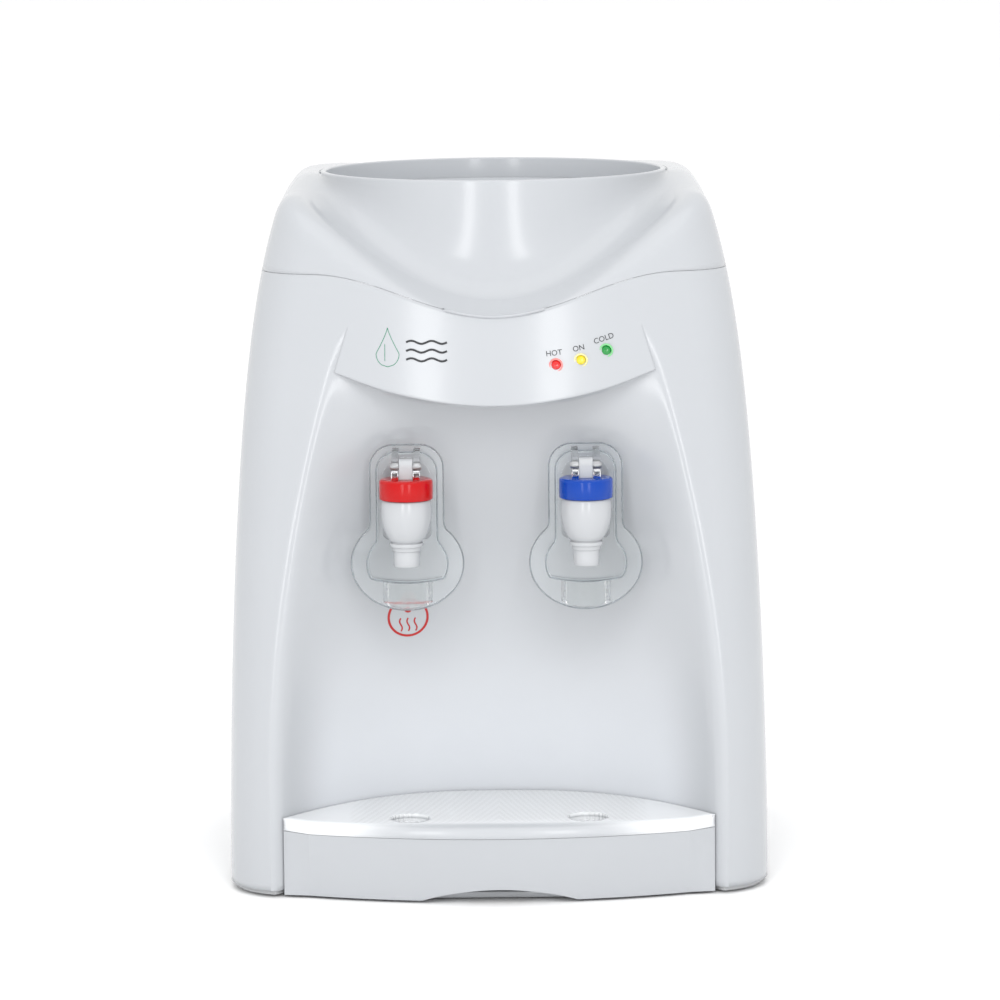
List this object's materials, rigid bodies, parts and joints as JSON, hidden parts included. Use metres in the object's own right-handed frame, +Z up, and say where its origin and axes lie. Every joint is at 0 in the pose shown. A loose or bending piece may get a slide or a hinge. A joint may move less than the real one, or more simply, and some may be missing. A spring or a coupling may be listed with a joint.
{
  "type": "countertop water dispenser",
  "caption": "White countertop bottle water dispenser with clear lever taps, red and blue caps, recessed cup bay, drip tray and a top collar for an inverted bottle.",
  "frame": {"origin": "centre of the footprint box at the table surface", "axes": "+X to the right seen from the front, -Y to the front with the taps, +Z up"},
  "size_m": [0.295, 0.276, 0.3856],
  "materials": {
    "shell_white": "gloss",
    "receiver_white": "gloss",
    "base_grey": "matte",
    "foot_rubber": "matte",
    "seal_silicone": "satin",
    "spike_white": "satin",
    "tap_white": "gloss",
    "cap_red": "satin",
    "cap_blue": "satin",
    "lever_clear": "gloss",
    "pin_steel": "satin",
    "lamp_red": "gloss",
    "lamp_yellow": "gloss",
    "lamp_green": "gloss",
    "board_green": "satin",
    "foam_grey": "matte",
    "sink_aluminium": "satin",
    "module_white": "matte",
    "fan_black": "satin",
    "rocker_red": "gloss",
    "rocker_green": "gloss",
    "hose_silicone": "satin",
    "drain_white": "satin"
  },
  "bodies": {
    "cabinet": {"base_plate": "base_grey", "cold_block": "sink_aluminium", "cold_hose": "hose_silicone", "cold_tank": "pin_steel", "cold_tap_body": "tap_white", "cold_tap_cap": "cap_blue", "cold_tap_gasket": "seal_silicone", "cold_tap_nut": "tap_white", "cold_valve_spring": "pin_steel", "cool_switch_housing": "fan_black", "cord_gland": "fan_black", "drain_outlet": "drain_white", "fan_frame": "fan_black", "fill_hose": "hose_silicone", "foam_jacket": "foam_grey", "foot_front_left": "foot_rubber", "foot_front_right": "foot_rubber", "foot_rear_left": "foot_rubber", "foot_rear_right": "foot_rubber", "front_housing": "shell_white", "heat_sink": "sink_aluminium", "heat_switch_housing": "fan_black", "heater_band": "sink_aluminium", "hot_hose": "hose_silicone", "hot_tank": "pin_steel", "hot_tap_body": "tap_white", "hot_tap_cap": "cap_red", "hot_tap_gasket": "seal_silicone", "hot_tap_nut": "tap_white", "hot_valve_spring": "pin_steel", "housing_screws": "pin_steel", "inner_frame": "pin_steel", "led_board": "board_green", "led_cool": "lamp_green", "led_heat": "lamp_red", "led_power": "lamp_yellow", "peltier_module": "module_white", "power_board": "board_green", "rear_housing": "shell_white", "receiver_seal": "seal_silicone", "thermostats": "sink_aluminium", "top_cover": "shell_white"},
    "hot_valve": {"hot_stem": "tap_white", "hot_diaphragm": "seal_silicone"},
    "cold_valve": {"cold_stem": "tap_white", "cold_diaphragm": "seal_silicone"},
    "hot_paddle": {"hot_lever": "lever_clear", "hot_lever_pin": "pin_steel"},
    "cold_paddle": {"cold_lever": "lever_clear", "cold_lever_pin": "pin_steel"},
    "tray": {"drip_tray": "shell_white"},
    "grille": {"drip_grille": "shell_white"},
    "receiver": {"bottle_receiver": "receiver_white", "feed_spike": "spike_white"},
    "heat_rocker": {"heat_switch_rocker": "rocker_red"},
    "cool_rocker": {"cool_switch_rocker": "rocker_green"},
    "fan": {"fan_rotor": "fan_black"},
    "plug": {"drain_plug": "drain_white"}
  },
  "joints": [
    {"name": "hot_lever_tilt", "type": "hinge", "parent": "hot_valve", "child": "hot_paddle", "pos_m": [-0.0482, -0.113, 0.236], "axis": [1, 0, 0], "range_deg": [0, 10], "stiffness_Nm_per_rad": 1, "springref_deg": -5.73},
    {"name": "hot_stem_lift", "type": "slide", "parent": "cabinet", "child": "hot_valve", "axis": [0, 0, 1], "range_m": [0, 0.00125], "deforming": ["hot_valve_spring"]},
    {"name": "cold_lever_tilt", "type": "hinge", "parent": "cold_valve", "child": "cold_paddle", "pos_m": [0.0482, -0.113, 0.236], "axis": [1, 0, 0], "range_deg": [0, 10], "stiffness_Nm_per_rad": 1, "springref_deg": -5.73},
    {"name": "cold_stem_lift", "type": "slide", "parent": "cabinet", "child": "cold_valve", "axis": [0, 0, 1], "range_m": [0, 0.00125], "deforming": ["cold_valve_spring"]},
    {"name": "tray_slide", "type": "slide", "parent": "cabinet", "child": "tray", "axis": [0, -1, 0], "range_m": [0, 0.115]},
    {"name": "grille_lift", "type": "slide", "parent": "tray", "child": "grille", "axis": [0, -0.1772, 0.9842], "range_m": [0, 0.025]},
    {"name": "receiver_lift", "type": "slide", "parent": "cabinet", "child": "receiver", "axis": [0, 0, 1], "range_m": [0, 0.1]},
    {"name": "fan_spin", "type": "hinge", "parent": "cabinet", "child": "fan", "pos_m": [0, 0.107, 0.2], "axis": [0, 1, 0], "continuous": true},
    {"name": "heat_rocker_tilt", "type": "hinge", "parent": "cabinet", "child": "heat_rocker", "pos_m": [0.072, 0.127, 0.084], "axis": [1, 0, 0], "range_deg": [0, 12]},
    {"name": "cool_rocker_tilt", "type": "hinge", "parent": "cabinet", "child": "cool_rocker", "pos_m": [0.102, 0.127, 0.084], "axis": [1, 0, 0], "range_deg": [0, 12]},
    {"name": "drain_plug_pull", "type": "slide", "parent": "cabinet", "child": "plug", "axis": [0, 1, 0], "range_m": [0, 0.025]}
  ],
  "couplings": [
    {"joint": "hot_stem_lift", "follows": "hot_lever_tilt", "m_per_rad": 0.006},
    {"joint": "cold_stem_lift", "follows": "cold_lever_tilt", "m_per_rad": 0.006}
  ]
}
